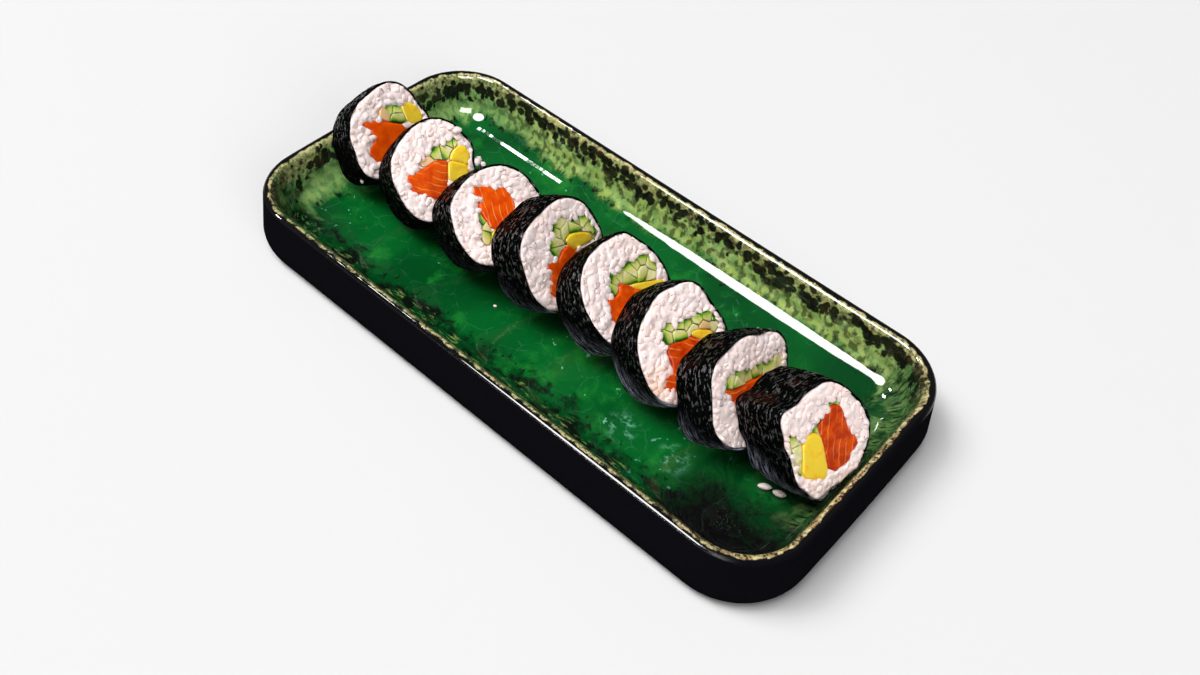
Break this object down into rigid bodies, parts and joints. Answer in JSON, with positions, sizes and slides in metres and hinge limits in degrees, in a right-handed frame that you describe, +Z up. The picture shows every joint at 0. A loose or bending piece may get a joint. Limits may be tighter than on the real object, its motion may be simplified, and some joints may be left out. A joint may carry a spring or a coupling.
{
  "type": "maki sushi roll slices on a tray",
  "caption": "Cut slices of a thick maki roll with salmon, mango and cucumber, leaning in a row in a long green-glazed stoneware tray.",
  "frame": {"origin": "under the middle of the tray, on the surface it stands on", "axes": "+X along the row, from the slice that leans on the tray's end to the one whose cut face is seen whole; +Y across the tray; +Z up"},
  "size_m": [0.2972, 0.145, 0.059],
  "materials": {
    "stoneware": "glossy emerald glaze, sage and cream mottling up the wall, black lip, matt black outside",
    "nori": "thin dry seaweed, black with fine fibres and a slight sheen",
    "rice": "moist boiled grains, white and slightly translucent",
    "salmon": "moist raw salmon with thin pale fat lines",
    "mango": "moist ripe mango",
    "cucumber": "moist pale flesh with dark green skin at the edges"
  },
  "bodies": {
    "root": {"cucumber_1": "cucumber", "cucumber_2": "cucumber", "cucumber_3": "cucumber", "cucumber_4": "cucumber", "cucumber_5": "cucumber", "cucumber_6": "cucumber", "cucumber_7": "cucumber", "cucumber_8": "cucumber", "cucumber_mid_8": "cucumber", "cucumber_top_8": "cucumber", "loose_rice_1": "rice", "loose_rice_2": "rice", "mango_1": "mango", "mango_2": "mango", "mango_3": "mango", "mango_4": "mango", "mango_5": "mango", "mango_6": "mango", "mango_8": "mango", "mango_low_2": "mango", "nori_1": "nori", "nori_2": "nori", "nori_3": "nori", "nori_4": "nori", "nori_5": "nori", "nori_6": "nori", "nori_7": "nori", "nori_8": "nori", "rice_1": "rice", "rice_2": "rice", "rice_3": "rice", "rice_4": "rice", "rice_5": "rice", "rice_6": "rice", "rice_7": "rice", "rice_8": "rice", "salmon_1": "salmon", "salmon_2": "salmon", "salmon_3": "salmon", "salmon_4": "salmon", "salmon_5": "salmon", "salmon_6": "salmon", "salmon_7": "salmon", "salmon_8": "salmon", "tray": "stoneware"}
  },
  "joints": []
}
